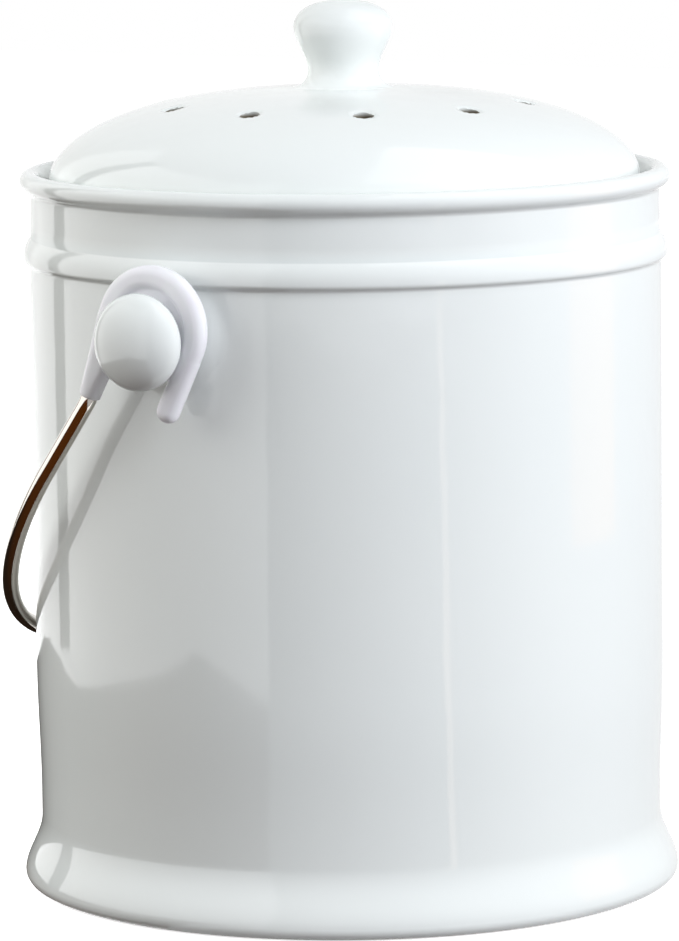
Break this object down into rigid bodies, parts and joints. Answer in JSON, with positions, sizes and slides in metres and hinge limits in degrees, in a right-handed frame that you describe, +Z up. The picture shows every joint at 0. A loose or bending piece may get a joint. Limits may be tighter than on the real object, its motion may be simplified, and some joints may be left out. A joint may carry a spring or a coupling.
{
  "type": "countertop compost caddy",
  "caption": "Round glazed ceramic compost crock with a lift-off vented lid, a charcoal filter in the lid and a steel bail handle.",
  "frame": {"origin": "centre of the foot's resting plane, on the crock's axis", "axes": "+Z up along the crock's axis, X along the line through the two studs, +Y towards the side where the bail hangs"},
  "size_m": [0.2212, 0.1854, 0.2467],
  "materials": {
    "white_glaze": "gloss white glaze",
    "lid_glaze": "gloss white glaze",
    "filter_plastic": "fine moulded satin",
    "charcoal_felt": "pressed carbon felt",
    "hook_plastic": "moulded satin white",
    "bail_steel": "polished stainless rod"
  },
  "bodies": {
    "crock_body": {"crock": "white_glaze"},
    "lid_body": {"lid": "lid_glaze", "filter_holder": "filter_plastic"},
    "retainer_body": {"filter_retainer": "filter_plastic", "charcoal_filter": "charcoal_felt"},
    "bail_body": {"hook_left": "hook_plastic", "hook_right": "hook_plastic", "bail_rod": "bail_steel"}
  },
  "joints": [
    {"name": "handle_swing", "type": "hinge", "parent": "crock_body", "child": "bail_body", "pos_m": [0, 0, 0.1614], "axis": [1, 0, 0], "range_deg": [0, 274]},
    {"name": "lid_lift", "type": "slide", "parent": "crock_body", "child": "lid_body", "axis": [0, 0, 1], "range_m": [0, 0.08]},
    {"name": "filter_twist", "type": "hinge", "parent": "lid_body", "child": "retainer_body", "pos_m": [0, 0, 0.1873], "axis": [0, 0, 1], "range_deg": [0, 45]}
  ]
}
